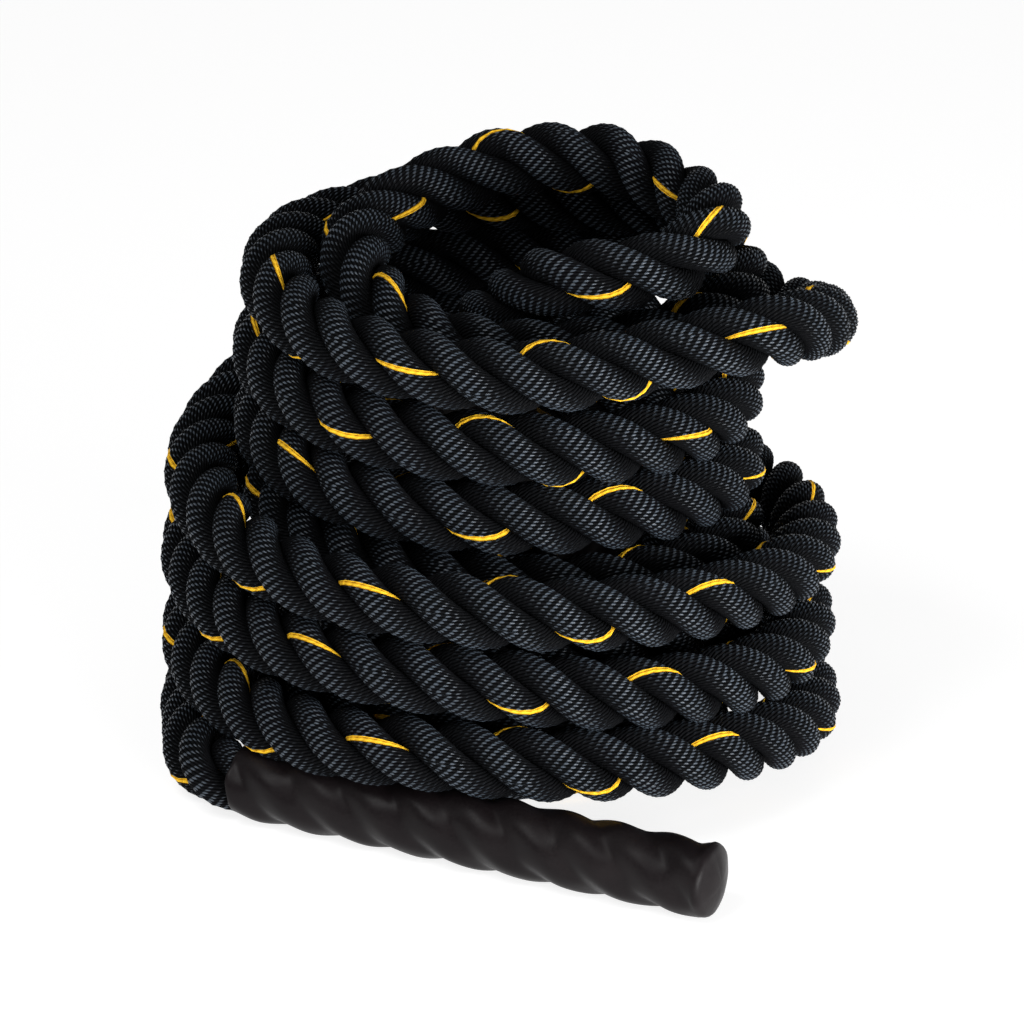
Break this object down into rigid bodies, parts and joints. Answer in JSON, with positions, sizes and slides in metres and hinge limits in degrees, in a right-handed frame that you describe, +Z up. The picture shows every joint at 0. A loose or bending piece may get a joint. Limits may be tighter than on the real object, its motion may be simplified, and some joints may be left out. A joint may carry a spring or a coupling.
{
  "type": "battle rope",
  "caption": "Thick three-strand laid training rope, piled in a loose coil, with a shrunk-on grip sleeve closing each end.",
  "frame": {"origin": "centre of the part's footprint box, on the surface it rests on", "axes": "+Z up, -Y the side that the front grip sleeve lies on, +X to the right seen from there"},
  "size_m": [0.3653, 0.4273, 0.3123],
  "materials": {
    "rope": "black polyester yarns with a soft sheen and one yellow tracer yarn",
    "grip_sleeve": "black heat-shrunk sleeve, satin"
  },
  "bodies": {
    "root": {"grip_sleeve_front": "grip_sleeve", "grip_sleeve_inner": "grip_sleeve", "rope_end_front": "rope", "rope_end_inner": "rope", "rope_lead": "rope", "rope_lower_coil": "rope", "rope_upper_coil": "rope", "rope_side_bight": "rope", "rope_top_coil": "rope", "rope_inner_tail": "rope"}
  },
  "joints": []
}
